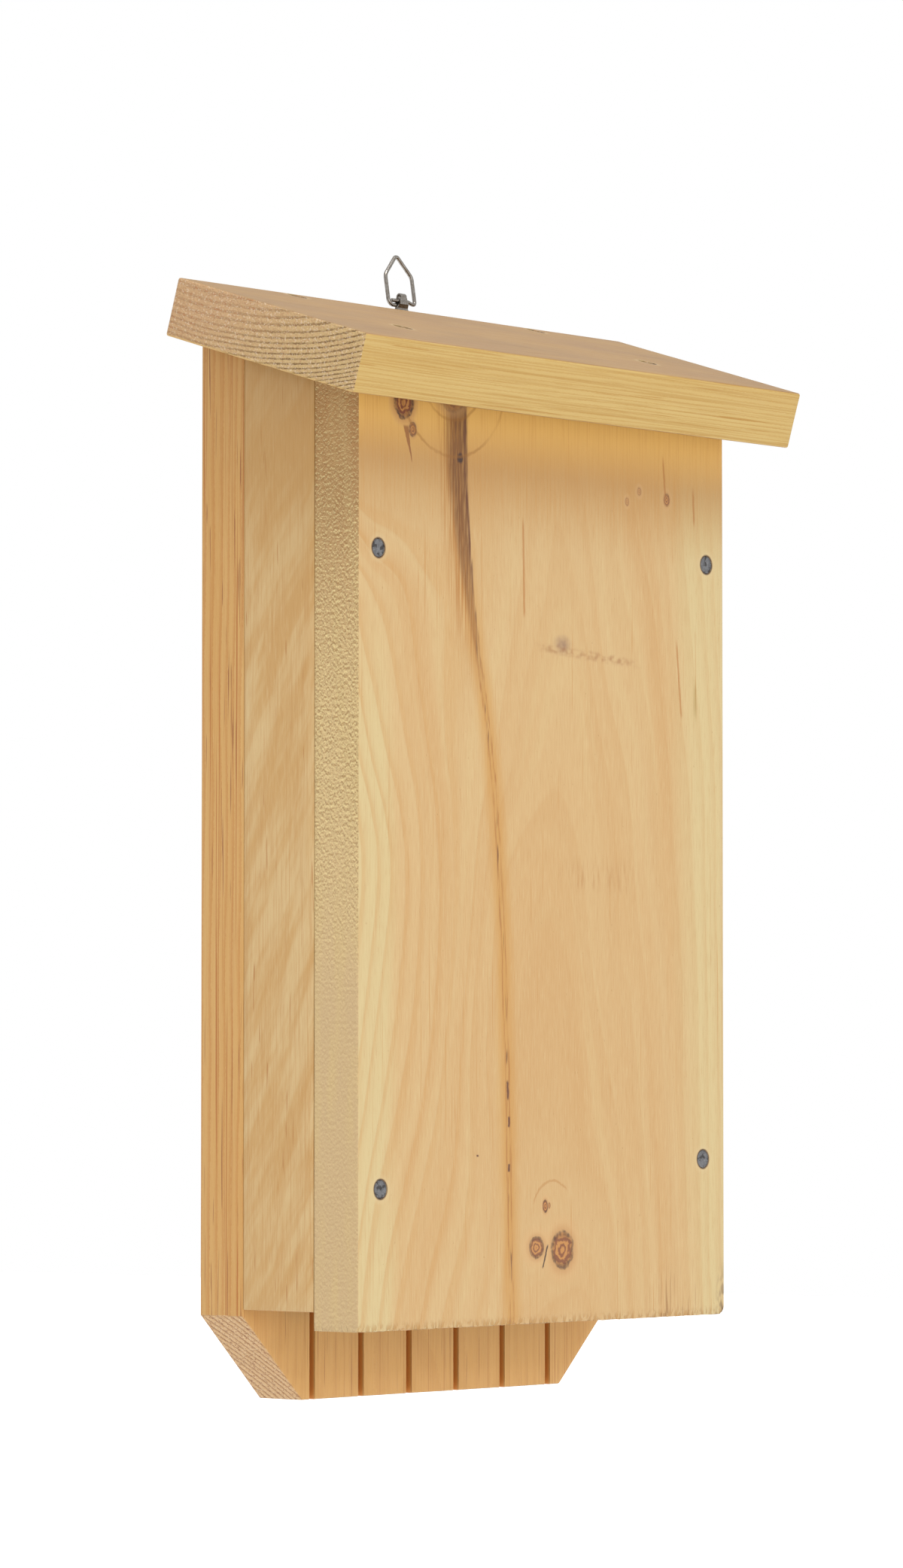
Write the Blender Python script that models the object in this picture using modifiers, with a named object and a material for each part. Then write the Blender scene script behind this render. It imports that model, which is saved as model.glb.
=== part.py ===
"""Single-chamber bat box: five pine boards nailed together, with a wire hanging ring.

Metres, +Z up. The origin is on the middle of the rear face, which lies on the wall; the front
of the box faces -Y. Inside the box's own frame heights are measured from the lower end of the
back board and depths from the front face, and one empty carries that frame to its place.
"""

import math

import bmesh
import bpy
from mathutils import Matrix, Vector

# Clearances
GAP = 0.0003  # between boards that touch, and round every nail

# Boards
BOARD_WIDTH = 0.1840
WALL_THICKNESS = 0.0182
ROOF_THICKNESS = 0.0188
CHAMBER_DEPTH = 0.0293
BOX_DEPTH = WALL_THICKNESS + CHAMBER_DEPTH + WALL_THICKNESS
FRONT_BOARD_BOTTOM = 0.0232
SIDE_PANEL_BOTTOM = 0.0292
UNCUT_TOP = 0.345  # every wall board starts this tall and is then cut to the roof's slope
EASED_EDGE = 0.0004
WORN_CORNER_RADIUS = 0.0030

# Roof, set on a slope that falls to the front
ROOF_WIDTH = 0.2208
ROOF_LENGTH = 0.0816
ROOF_SLOPE = math.radians(16.87)
ROOF_UNDERSIDE_AT_FRONT = 0.3144  # height of the underside above the front face
ROOF_BACK_EDGE = 0.0591  # depth of the upper rear edge
ROOF_EASED_EDGE = 0.0009

# Lower corners cut off the back board
CHAMFER_ACROSS = 0.0278
CHAMFER_UP = 0.0271

# Saw kerfs up the back board's front face
KERF_COUNT = 6
KERF_PITCH = 0.02345
KERF_FIRST = -0.0593
KERF_WIDTH = 0.0028
KERF_DEPTH = 0.0030

# Nails
NAIL_SHANK_RADIUS = 0.00125
NAIL_HEAD_RADIUS = 0.0029
NAIL_HEAD_THICKNESS = 0.0010
NAIL_POINT = 0.0045
NAIL_LENGTH = 0.0380
HANGER_NAIL_SHANK_RADIUS = 0.0009
HANGER_NAIL_HEAD_RADIUS = 0.0024
HANGER_NAIL_LENGTH = 0.0150
NAIL_RIM = 0.3  # shares of the head's thickness: the bevel round its top,
NAIL_SIDE = 0.75  # the lower end of its side,
NAIL_CONE = 1.5  # and the lower end of the cone under it
NAIL_SIDES = 24
NAIL_SUNK = 0.0001  # how far a flush head sits under the surface
SIDE_NAIL_X = BOARD_WIDTH / 2 - WALL_THICKNESS / 2

# Hanger
HANGER_X = 0.0051
STRAP_SHEET = 0.0004
STRAP_PLY_SPACING = 0.0006  # between the middles of the two plies
STRAP_SEAT_DEPTH = 0.0006  # the strap's bed in the rear face
STRAP_TAB_WIDTH = 0.0090
STRAP_NECK_WIDTH = 0.0024
STRAP_TAB_BOTTOM = 0.3080
STRAP_TAPER_BOTTOM = 0.3490
STRAP_EYE_HALF_DEPTH = 0.00105  # middle of the sheet, either side of the wire
STRAP_EYE_TOP = 0.0026  # highest point above the wire's middle
STRAP_EYE_CLOSES = -0.0010  # the eye starts to narrow here, below the wire,
STRAP_PLIES_MEET = -0.0022  # and the plies run together from here down
HANGER_NAIL_HEIGHTS = {"upper": 0.3270, "lower": 0.3165}
WIRE_RADIUS = 0.00065
PIVOT_HEIGHT = 0.3559
RING_LEAN = math.radians(9.0)  # how far the ring leans back at rest
# Corners of the bent wire about the pivot, from the end that is turned in under the bar, up over
# the pointed top and down to the end of the bar: across, up, radius of the bend
RING_CORNERS = [
    (-0.0034, -0.0016, 0.0),
    (-0.0066, -0.0016, 0.0020),
    (-0.0066, 0.0086, 0.0030),
    (0.0, 0.0156, 0.0014),
    (0.0066, 0.0086, 0.0030),
    (0.0066, -0.0009, 0.0010),
    (0.0044, -0.00045, 0.0010),
    (0.0032, 0.0, 0.0010),
    (-0.0050, 0.0, 0.0),
]

PIVOT_DEPTH = BOX_DEPTH - STRAP_SEAT_DEPTH + GAP + STRAP_SHEET / 2 + STRAP_PLY_SPACING / 2
REAR_FACE_MIDDLE = 0.1670
CUTTER_REACH = 0.004  # how far a cutter runs past the surface that it opens

# Materials: colour, roughness, metallic
PINE_FRONT = ("pine_front", (0.72, 0.50, 0.27, 1.0), 0.62, 0.0)
PINE_SIDE = ("pine_side", (0.66, 0.43, 0.22, 1.0), 0.60, 0.0)
PINE_BACK = ("pine_back", (0.62, 0.37, 0.17, 1.0), 0.62, 0.0)
PINE_ROOF = ("pine_roof", (0.60, 0.42, 0.22, 1.0), 0.66, 0.0)
GALVANISED = ("galvanised_steel", (0.34, 0.34, 0.34, 1.0), 0.48, 1.0)
BRIGHT_STEEL = ("bright_steel", (0.62, 0.58, 0.52, 1.0), 0.22, 1.0)


def clear_scene():
    for item in list(bpy.data.objects):
        bpy.data.objects.remove(item, do_unlink=True)


def make_material(spec):
    name, colour, roughness, metallic = spec
    material = bpy.data.materials.get(name) or bpy.data.materials.new(name)
    material.use_nodes = True
    shader = material.node_tree.nodes["Principled BSDF"]
    shader.inputs["Base Color"].default_value = colour
    shader.inputs["Roughness"].default_value = roughness
    shader.inputs["Metallic"].default_value = metallic
    material.diffuse_color = colour
    return material


def new_collection(name):
    collection = bpy.data.collections.new(name)
    bpy.context.scene.collection.children.link(collection)
    return collection


def add_part(name, data, spec, parent, location=(0.0, 0.0, 0.0), rotation=(0.0, 0.0, 0.0)):
    part = bpy.data.objects.new(name, data)
    if not data.materials:
        data.materials.append(make_material(spec))
    part.parent = parent
    part.location = location
    part.rotation_euler = rotation
    PARTS.objects.link(part)
    return part


def add_cutter(name, data, parent, location=(0.0, 0.0, 0.0), rotation=(0.0, 0.0, 0.0)):
    cutter = bpy.data.objects.new(name, data)
    cutter.parent = parent
    cutter.location = location
    cutter.rotation_euler = rotation
    cutter.hide_render = True
    cutter.display_type = "WIRE"
    CUTTERS.objects.link(cutter)
    return cutter


def boolean(part, cutter, operation="DIFFERENCE"):
    modifier = part.modifiers.new(f"{operation.lower()}_{cutter.name}", "BOOLEAN")
    modifier.object = cutter
    modifier.operation = operation
    modifier.solver = "EXACT"


def box_bmesh(low, high):
    bm = bmesh.new()
    bmesh.ops.create_cube(bm, size=1.0)
    size = Vector(high) - Vector(low)
    middle = (Vector(high) + Vector(low)) / 2
    bmesh.ops.scale(bm, vec=size, verts=bm.verts)
    bmesh.ops.translate(bm, vec=middle, verts=bm.verts)
    return bm


def slice_off(bm, point, normal):
    """Cut away everything on the normal's side of a plane and close the cut."""
    geometry = bm.verts[:] + bm.edges[:] + bm.faces[:]
    cut = bmesh.ops.bisect_plane(bm, geom=geometry, plane_co=point, plane_no=normal, clear_outer=True)
    rim = [item for item in cut["geom_cut"] if isinstance(item, bmesh.types.BMEdge)]
    bmesh.ops.contextual_create(bm, geom=rim)


def ease_edges(bm, width, segments=2):
    bmesh.ops.bevel(bm, geom=bm.edges[:], offset=width, segments=segments, profile=0.5, affect="EDGES")


def finish_mesh(bm, name):
    bmesh.ops.recalc_face_normals(bm, faces=bm.faces)
    mesh = bpy.data.meshes.new(name)
    bm.to_mesh(mesh)
    bm.free()
    return mesh


def roof_underside(depth):
    return ROOF_UNDERSIDE_AT_FRONT + depth * math.tan(ROOF_SLOPE)


def wall_board(name, low, high, spec, cuts=(), worn_corner=None):
    """A board cut to the roof's slope at the top, with any further cuts, and its edges eased."""
    bm = box_bmesh(low, high)
    under_roof = Vector((0.0, 0.0, roof_underside(0.0) - GAP / math.cos(ROOF_SLOPE)))
    slice_off(bm, under_roof, Vector((0.0, -math.sin(ROOF_SLOPE), math.cos(ROOF_SLOPE))))
    for point, normal in cuts:
        slice_off(bm, Vector(point), Vector(normal))
    if worn_corner:
        corner = Vector(worn_corner)
        worn = [e for e in bm.edges if all((v.co.xz - corner).length < GAP for v in e.verts)]
        bmesh.ops.bevel(bm, geom=worn, offset=WORN_CORNER_RADIUS, segments=6, profile=0.5, affect="EDGES")
    ease_edges(bm, EASED_EDGE)
    return add_part(name, finish_mesh(bm, name), spec, BOX)


def turned_mesh(name, profile):
    """A closed turned solid from (radius, height) points that run down its outer side."""
    lathe_mesh = bpy.data.meshes.new(f"{name}_profile")
    points = [(radius, 0.0, height) for radius, height in profile]
    edges = [(i, i + 1) for i in range(len(points) - 1)]
    lathe_mesh.from_pydata(points, edges, [])
    lathe = bpy.data.objects.new(f"{name}_lathe", lathe_mesh)
    CUTTERS.objects.link(lathe)
    screw = lathe.modifiers.new("turn", "SCREW")
    screw.axis = "Z"
    screw.steps = NAIL_SIDES
    screw.render_steps = NAIL_SIDES
    screw.use_merge_vertices = True
    screw.merge_threshold = 0.000001
    bpy.context.view_layer.update()
    evaluated = lathe.evaluated_get(bpy.context.evaluated_depsgraph_get())
    mesh = bpy.data.meshes.new_from_object(evaluated)
    mesh.name = name
    mesh.shade_smooth()
    mesh.set_sharp_from_angle(angle=math.radians(35.0))
    bpy.data.objects.remove(lathe, do_unlink=True)
    bpy.data.meshes.remove(lathe_mesh)
    return mesh


def nail_profile(head, shank, thickness, length):
    """A nail along Z: the head's top at zero, the point downwards."""
    rim = thickness * NAIL_RIM
    return [
        (0.0, 0.0),
        (head - rim, 0.0),
        (head, -rim),
        (head, -thickness * NAIL_SIDE),
        (shank, -thickness * NAIL_CONE),
        (shank, -length + NAIL_POINT),
        (0.0, -length),
    ]


def nail_hole_profile(head, shank, thickness, length):
    """The nail's outline with a clearance all round, open above the head."""
    return [
        (0.0, CUTTER_REACH),
        (head + GAP, CUTTER_REACH),
        (head + GAP, -thickness * NAIL_SIDE - GAP),
        (shank + GAP, -thickness * NAIL_CONE - GAP),
        (shank + GAP, -length - GAP),
        (0.0, -length - GAP),
    ]


def drive_nail(name, mesh, hole, location, rotation, boards):
    """Place a nail, and bore its clearance through every piece that it goes into."""
    add_part(name, mesh, GALVANISED, BOX, location, rotation)
    cutter = add_cutter(f"{name}_hole", hole, BOX, location, rotation)
    for board in boards:
        boolean(board, cutter)


def outline_solid(name, points, thickness):
    """A flat outline in X and Z, given a thickness along Y, as a closed mesh."""
    curve = bpy.data.curves.new(name, "CURVE")
    curve.dimensions = "2D"
    curve.fill_mode = "BOTH"
    curve.extrude = thickness / 2
    spline = curve.splines.new("POLY")
    spline.points.add(len(points) - 1)
    for point, (x, z) in zip(spline.points, points):
        point.co = (x, z, 0.0, 1.0)
    spline.use_cyclic_u = True
    holder = bpy.data.objects.new(name, curve)
    CUTTERS.objects.link(holder)
    bpy.context.view_layer.update()
    mesh = bpy.data.meshes.new_from_object(holder.evaluated_get(bpy.context.evaluated_depsgraph_get()))
    bpy.data.objects.remove(holder, do_unlink=True)
    bm = bmesh.new()
    bm.from_mesh(mesh)
    bmesh.ops.remove_doubles(bm, verts=bm.verts, dist=0.000001)
    bmesh.ops.rotate(bm, cent=(0.0, 0.0, 0.0), matrix=Matrix.Rotation(math.pi / 2, 3, "X"), verts=bm.verts)
    bpy.data.meshes.remove(mesh)
    return finish_mesh(bm, name)


def arc(centre, radius, start_degrees, end_degrees, steps):
    """Points along an arc, in the plane of two coordinates."""
    points = []
    for i in range(steps + 1):
        angle = math.radians(start_degrees + (end_degrees - start_degrees) * i / steps)
        points.append((centre[0] + radius * math.cos(angle), centre[1] + radius * math.sin(angle)))
    return points


def rounded_path(corners, steps=6):
    """Round each inner corner of a path; a corner is (x, z, bend radius)."""
    path = [Vector(corners[0][:2])]
    for before, corner, after in zip(corners, corners[1:], corners[2:]):
        here = Vector(corner[:2])
        back = (Vector(before[:2]) - here).normalized()
        ahead = (Vector(after[:2]) - here).normalized()
        half = back.angle(ahead) / 2
        reach = corner[2] / math.tan(half)
        centre = here + (back + ahead).normalized() * corner[2] / math.sin(half)
        first = here + back * reach - centre
        last = here + ahead * reach - centre
        sweep = first.angle_signed(last)
        for i in range(steps + 1):
            path.append(centre + Matrix.Rotation(-sweep * i / steps, 2) @ first)
    path.append(Vector(corners[-1][:2]))
    return path


def make_roof():
    bm = box_bmesh((-ROOF_WIDTH / 2, -ROOF_LENGTH, -ROOF_THICKNESS), (ROOF_WIDTH / 2, 0.0, 0.0))
    ease_edges(bm, ROOF_EASED_EDGE)
    rise = ROOF_THICKNESS / math.cos(ROOF_SLOPE)
    upper_edge = (0.0, ROOF_BACK_EDGE, roof_underside(ROOF_BACK_EDGE) + rise)
    return add_part("roof", finish_mesh(bm, "roof"), PINE_ROOF, BOX, upper_edge, (ROOF_SLOPE, 0.0, 0.0))


def make_walls():
    half = BOARD_WIDTH / 2
    front = wall_board(
        "front_board",
        (-half, 0.0, FRONT_BOARD_BOTTOM),
        (half, WALL_THICKNESS, UNCUT_TOP),
        PINE_FRONT,
        worn_corner=(half, FRONT_BOARD_BOTTOM),
    )
    corner_cuts = [
        ((side * half, 0.0, CHAMFER_UP), (side * CHAMFER_UP, 0.0, -CHAMFER_ACROSS)) for side in (-1, 1)
    ]
    back = wall_board(
        "back_board",
        (-half, BOX_DEPTH - WALL_THICKNESS, 0.0),
        (half, BOX_DEPTH, UNCUT_TOP),
        PINE_BACK,
        cuts=corner_cuts,
    )
    sides = {}
    for side, sign in (("left", -1), ("right", 1)):
        across = sorted((sign * half, sign * (half - WALL_THICKNESS)))
        sides[side] = wall_board(
            f"{side}_side_panel",
            (across[0], WALL_THICKNESS + GAP, SIDE_PANEL_BOTTOM),
            (across[1], WALL_THICKNESS + CHAMBER_DEPTH - GAP, UNCUT_TOP),
            PINE_SIDE,
        )
    return front, back, sides


def saw_kerfs(back):
    face = BOX_DEPTH - WALL_THICKNESS
    for i in range(KERF_COUNT):
        middle = KERF_FIRST + i * KERF_PITCH
        low = (middle - KERF_WIDTH / 2, face - CUTTER_REACH, -CUTTER_REACH)
        high = (middle + KERF_WIDTH / 2, face + KERF_DEPTH, UNCUT_TOP)
        cutter = add_cutter(f"kerf_{i + 1}", finish_mesh(box_bmesh(low, high), f"kerf_{i + 1}"), BOX)
        boolean(back, cutter)


def nail_boards(roof, front, back, sides):
    size = (NAIL_HEAD_RADIUS, NAIL_SHANK_RADIUS, NAIL_HEAD_THICKNESS, NAIL_LENGTH)
    nail = turned_mesh("nail", nail_profile(*size))
    hole = turned_mesh("nail_hole", nail_hole_profile(*size))
    forwards = math.radians(90.0)

    front_nails = {
        "front_nail_upper_left": (-0.0824, 0.2655),
        "front_nail_upper_right": (0.0830, 0.2705),
        "front_nail_lower_left": (-0.0813, 0.0672),
        "front_nail_lower_right": (0.0807, 0.0746),
    }
    for name, (across, height) in front_nails.items():
        side = sides["left" if across < 0 else "right"]
        drive_nail(name, nail, hole, (across, NAIL_SUNK, height), (forwards, 0.0, 0.0), (front, side))

    for level, height in (("upper", 0.2680), ("lower", 0.0710)):
        for side, sign in (("left", -1), ("right", 1)):
            place = (sign * SIDE_NAIL_X, BOX_DEPTH - NAIL_SUNK, height)
            name = f"back_nail_{level}_{side}"
            drive_nail(name, nail, hole, place, (-forwards, 0.0, 0.0), (back, sides[side]))

    # The roof nails go straight down, so the lower side of each head is what meets the slope.
    roof_nails = {
        "roof_nail_back_left": (-0.0597, 0.0543, back),
        "roof_nail_back_right": (0.0598, 0.0540, back),
        "roof_nail_front_left": (-0.0590, 0.0105, front),
        "roof_nail_front_right": (0.0626, 0.0088, front),
    }
    for name, (across, depth, board) in roof_nails.items():
        low_side = roof_underside(depth - NAIL_HEAD_RADIUS) + ROOF_THICKNESS / math.cos(ROOF_SLOPE)
        place = (across, depth, low_side - NAIL_SUNK)
        drive_nail(name, nail, hole, place, (0.0, 0.0, 0.0), (roof, board))


def strap_outline(margin):
    """The folded strap from behind: a round-ended tab that narrows to a neck at its eye."""
    tab = STRAP_TAB_WIDTH / 2 + margin
    neck = STRAP_NECK_WIDTH / 2 + margin
    top = PIVOT_HEIGHT + STRAP_EYE_TOP + STRAP_SHEET
    taper_top = PIVOT_HEIGHT + STRAP_EYE_TOP / 2
    round_end = arc((0.0, STRAP_TAB_BOTTOM + STRAP_TAB_WIDTH / 2), tab, 180, 360, 12)
    left_side = [(-neck, top), (-neck, taper_top), (-tab, STRAP_TAPER_BOTTOM)]
    right_side = [(tab, STRAP_TAPER_BOTTOM), (neck, taper_top), (neck, top)]
    return left_side + round_end + right_side


def strap_bend():
    """The middle line of the sheet, seen from the side, as (depth, height) about the wire."""
    ply = STRAP_PLY_SPACING / 2
    eye = STRAP_EYE_HALF_DEPTH
    crown = STRAP_EYE_TOP - STRAP_SHEET / 2 - eye
    foot = STRAP_TAB_BOTTOM - PIVOT_HEIGHT - CUTTER_REACH
    rising = [(-ply, foot), (-ply, STRAP_PLIES_MEET), (-eye, STRAP_EYE_CLOSES)]
    over = arc((0.0, crown), eye, 180, 0, 10)
    falling = [(-depth, height) for depth, height in reversed(rising)]
    return rising + over + falling


def make_strap(back):
    """Fold a wide sheet over the wire, trim it to the strap's outline, and bed it in the board."""
    half = STRAP_TAB_WIDTH / 2 + CUTTER_REACH
    bm = bmesh.new()
    line = [bm.verts.new((-half, depth, height)) for depth, height in strap_bend()]
    edges = [bm.edges.new(pair) for pair in zip(line, line[1:])]
    swept = bmesh.ops.extrude_edge_only(bm, edges=edges)
    moved = [item for item in swept["geom"] if isinstance(item, bmesh.types.BMVert)]
    bmesh.ops.translate(bm, vec=(2 * half, 0.0, 0.0), verts=moved)
    place = (HANGER_X, PIVOT_DEPTH, PIVOT_HEIGHT)
    strap = add_part("hanger_strap", finish_mesh(bm, "hanger_strap"), BRIGHT_STEEL, BOX, place)
    sheet = strap.modifiers.new("sheet", "SOLIDIFY")
    sheet.thickness = STRAP_SHEET
    sheet.offset = 0.0
    sheet.use_even_offset = True

    outline = outline_solid("strap_outline", strap_outline(0.0), 2 * CUTTER_REACH)
    boolean(strap, add_cutter("strap_outline", outline, BOX, (HANGER_X, PIVOT_DEPTH, 0.0)), "INTERSECT")
    bed = outline_solid("strap_bed", strap_outline(GAP), 2 * STRAP_SEAT_DEPTH)
    boolean(back, add_cutter("strap_bed", bed, BOX, (HANGER_X, BOX_DEPTH, 0.0)))
    return strap


def nail_strap(strap, back):
    head, shank = HANGER_NAIL_HEAD_RADIUS, HANGER_NAIL_SHANK_RADIUS
    nail = turned_mesh("hanger_nail", nail_profile(head, shank, NAIL_HEAD_THICKNESS, HANGER_NAIL_LENGTH))
    bore = nail_hole_profile(shank, shank, NAIL_HEAD_THICKNESS, HANGER_NAIL_LENGTH)
    hole = turned_mesh("hanger_nail_hole", bore)
    strap_rear = PIVOT_DEPTH + STRAP_PLY_SPACING / 2 + STRAP_SHEET / 2
    head_top = strap_rear + GAP + NAIL_HEAD_THICKNESS * NAIL_CONE
    for level, height in HANGER_NAIL_HEIGHTS.items():
        nail_place = (HANGER_X, head_top, height)
        backwards = (math.radians(-90.0), 0.0, 0.0)
        drive_nail(f"hanger_nail_{level}", nail, hole, nail_place, backwards, (back, strap))


def make_ring():
    ring = bpy.data.curves.new("hanger_ring", "CURVE")
    ring.dimensions = "3D"
    ring.bevel_depth = WIRE_RADIUS
    ring.bevel_resolution = 3
    ring.use_fill_caps = True
    path = rounded_path(RING_CORNERS)
    spline = ring.splines.new("POLY")
    spline.points.add(len(path) - 1)
    for point, (x, z) in zip(spline.points, path):
        point.co = (x, 0.0, z, 1.0)
    place = (HANGER_X, PIVOT_DEPTH, PIVOT_HEIGHT)
    add_part("hanger_ring", ring, BRIGHT_STEEL, BOX, place, (-RING_LEAN, 0.0, 0.0))


clear_scene()
PARTS = new_collection("bat_box")
CUTTERS = new_collection("bat_box_cutters")
BOX = bpy.data.objects.new("box_frame", None)
BOX.location = (0.0, -BOX_DEPTH, -REAR_FACE_MIDDLE)
PARTS.objects.link(BOX)

roof_board = make_roof()
front_board, back_board, side_panels = make_walls()
saw_kerfs(back_board)
nail_boards(roof_board, front_board, back_board, side_panels)
hanger_strap = make_strap(back_board)
nail_strap(hanger_strap, back_board)
make_ring()
bpy.context.view_layer.update()
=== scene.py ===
# %% [markdown]
# # A timber bat box
# The frame that comes first is the measured model: five pine boards, their nails and a wire
# hanger, each in its true place. Everything below is about how those pieces look. Each board is
# modelled again with the marks that a saw, a plane and a hammer leave, and gets a pine made from
# shader nodes. Lengths are in metres, and the box's front faces -Y.

# %% Load the frame
import math
from contextlib import contextmanager

import bmesh
import bpy
from mathutils import Euler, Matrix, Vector


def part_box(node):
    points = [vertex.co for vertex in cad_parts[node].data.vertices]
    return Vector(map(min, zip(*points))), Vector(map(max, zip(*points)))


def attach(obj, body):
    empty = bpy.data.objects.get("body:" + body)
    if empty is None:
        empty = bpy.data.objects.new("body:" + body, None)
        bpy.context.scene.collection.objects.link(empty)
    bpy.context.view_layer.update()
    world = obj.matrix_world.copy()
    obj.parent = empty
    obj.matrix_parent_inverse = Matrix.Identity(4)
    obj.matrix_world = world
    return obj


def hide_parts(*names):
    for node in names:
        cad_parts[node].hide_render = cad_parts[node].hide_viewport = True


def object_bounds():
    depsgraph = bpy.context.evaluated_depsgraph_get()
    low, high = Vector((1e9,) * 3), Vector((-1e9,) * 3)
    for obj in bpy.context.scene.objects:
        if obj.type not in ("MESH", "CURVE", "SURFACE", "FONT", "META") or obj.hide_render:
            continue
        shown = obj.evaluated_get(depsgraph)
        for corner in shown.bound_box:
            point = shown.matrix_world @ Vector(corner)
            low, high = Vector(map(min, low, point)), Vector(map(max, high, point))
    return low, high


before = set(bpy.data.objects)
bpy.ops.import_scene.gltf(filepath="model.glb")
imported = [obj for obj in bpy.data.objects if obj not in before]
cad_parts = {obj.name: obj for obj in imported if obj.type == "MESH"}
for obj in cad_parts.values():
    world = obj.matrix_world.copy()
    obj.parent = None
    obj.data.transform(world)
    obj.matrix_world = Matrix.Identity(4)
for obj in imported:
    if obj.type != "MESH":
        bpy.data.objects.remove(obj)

CAD_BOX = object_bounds()
MM = 0.001
print("the frame's box:", [[round(value, 4) for value in corner] for corner in CAD_BOX])

# %% [markdown]
# ## Camera, light and floor
# A product picture like this is taken in a white light tent, with light from all round. So the
# sky is plain white, and two large soft panels, one high up and one in front, part the box's
# faces a little. The camera stands well away and uses a long lens, which keeps upright edges
# parallel. The floor is a pale light table: it glows, so it has no visible far edge and lights
# the box's lower end from below.

# %% Helper: set up a camera or a light
def set_up(name, data, place, target=(0.0, 0.0, 0.0)):
    """Put it at a place and turn it towards a target."""
    thing = bpy.data.objects.new(name, data)
    thing.location = place
    thing.rotation_euler = (Vector(target) - Vector(place)).to_track_quat("-Z", "Y").to_euler()
    bpy.context.scene.collection.objects.link(thing)
    return thing


# %% The camera
CAMERA_PLACE = Vector((-1.4979, -1.2907, -0.0609))
CAMERA_TARGET = Vector((-0.0173, -0.0402, 0.0283))
CAMERA_LENS = 139.2

camera_data = bpy.data.cameras.new("camera")
camera_data.lens = CAMERA_LENS
bpy.context.scene.camera = set_up("camera", camera_data, CAMERA_PLACE, CAMERA_TARGET)
print("camera to box:", round((CAMERA_TARGET - CAMERA_PLACE).length, 3), "m")

# %% The light tent
SKY_STRENGTH = 1.0
PANELS = {
    # name: (place, side of the square panel, watts)
    "key_panel": ((-0.55, -0.75, 1.9), 0.9, 30.0),
    "front_panel": ((-0.5, -2.2, 0.0), 1.4, 8.0),
}

sky = bpy.data.worlds.new("light_tent")
sky.use_nodes = True
background = sky.node_tree.nodes["Background"]
background.inputs["Color"].default_value = (1.0, 1.0, 1.0, 1.0)
background.inputs["Strength"].default_value = SKY_STRENGTH
bpy.context.scene.world = sky
bpy.context.scene.view_settings.view_transform = "Standard"

for name, (place, side, watts) in PANELS.items():
    panel_data = bpy.data.lights.new(name, "AREA")
    panel_data.size = side
    panel_data.energy = watts
    set_up(name, panel_data, place)
print("light panels:", len(PANELS))

# %% The light table
FLOOR_SIDE = 14.0
FLOOR_DROP = 0.30  # from the box's lower end down to the table
FLOOR_GLOW = 0.50

bpy.ops.mesh.primitive_plane_add(size=FLOOR_SIDE, location=(0.0, 0.0, CAD_BOX[0].z - FLOOR_DROP))
floor = bpy.context.active_object
floor.name = "light_table"
floor_finish = bpy.data.materials.new("pale_acrylic")
floor_finish.use_nodes = True
floor_shader = floor_finish.node_tree.nodes["Principled BSDF"]
floor_shader.inputs["Base Color"].default_value = (0.86, 0.86, 0.86, 1.0)
floor_shader.inputs["Roughness"].default_value = 0.8
floor_shader.inputs["Emission Color"].default_value = (1.0, 1.0, 1.0, 1.0)
floor_shader.inputs["Emission Strength"].default_value = FLOOR_GLOW
floor.data.materials.append(floor_finish)
print("floor at", round(floor.location.z, 3), "m")

# %% [markdown]
# ## Tools for modelling
# Every new piece starts as a primitive and is shaped in edit mode, as by hand. Edit-mode
# operators act on whatever is selected, so these few helpers select faces or edges by where
# they are and which way they face, and then call the operator.


# %% Helpers: select, edit and apply
def select_only(piece):
    for item in bpy.context.selected_objects:
        item.select_set(False)
    piece.select_set(True)
    bpy.context.view_layer.objects.active = piece


@contextmanager
def editing(piece, mode="EDGE"):
    """Edit mode on one piece, with all of it selected."""
    select_only(piece)
    bpy.ops.object.mode_set(mode="EDIT")
    bpy.ops.mesh.select_mode(type=mode)
    bpy.ops.mesh.select_all(action="SELECT")
    yield
    bpy.ops.object.mode_set(mode="OBJECT")


def pick(kind, test):
    """In edit mode, select only the verts, edges or faces that pass a test."""
    mesh = bpy.context.edit_object.data
    bm = bmesh.from_edit_mesh(mesh)
    for item in [*bm.verts, *bm.edges, *bm.faces]:
        item.select = False
    chosen = [item for item in getattr(bm, kind) if test(item)]
    for item in chosen:
        item.select_set(True)
    bm.select_flush_mode()
    bmesh.update_edit_mesh(mesh)
    return len(chosen)


def extrude(offset):
    bpy.ops.mesh.extrude_region_move(TRANSFORM_OT_translate={"value": offset})


def bevel(offset, segments, profile=0.5):
    bpy.ops.mesh.bevel(offset=offset, segments=segments, profile=profile, affect="EDGES")


def apply_all(piece):
    select_only(piece)
    for modifier in list(piece.modifiers):
        bpy.ops.object.modifier_apply(modifier=modifier.name)


def settle(piece):
    """Put the piece's place into its mesh, so that its object sits at the origin."""
    select_only(piece)
    bpy.ops.object.transform_apply(location=True, rotation=True, scale=True)


# %% Helpers: saw a board and ease its edges
def saw_block(name, low, high):
    size = Vector(high) - Vector(low)
    bpy.ops.mesh.primitive_cube_add(size=1.0, location=(Vector(low) + Vector(high)) / 2, scale=size)
    block = bpy.context.active_object
    block.name = name
    settle(block)
    return block


def saw_off(board, point, normal):
    """Cut away what lies on the normal's side of a plane."""
    with editing(board):
        bpy.ops.mesh.bisect(plane_co=point, plane_no=normal, clear_outer=True, use_fill=True)


def runs_along(edge, axis, longer_than):
    run = edge.verts[1].co - edge.verts[0].co
    return run.length > longer_than and abs(run[axis]) > 0.94 * run.length


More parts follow.
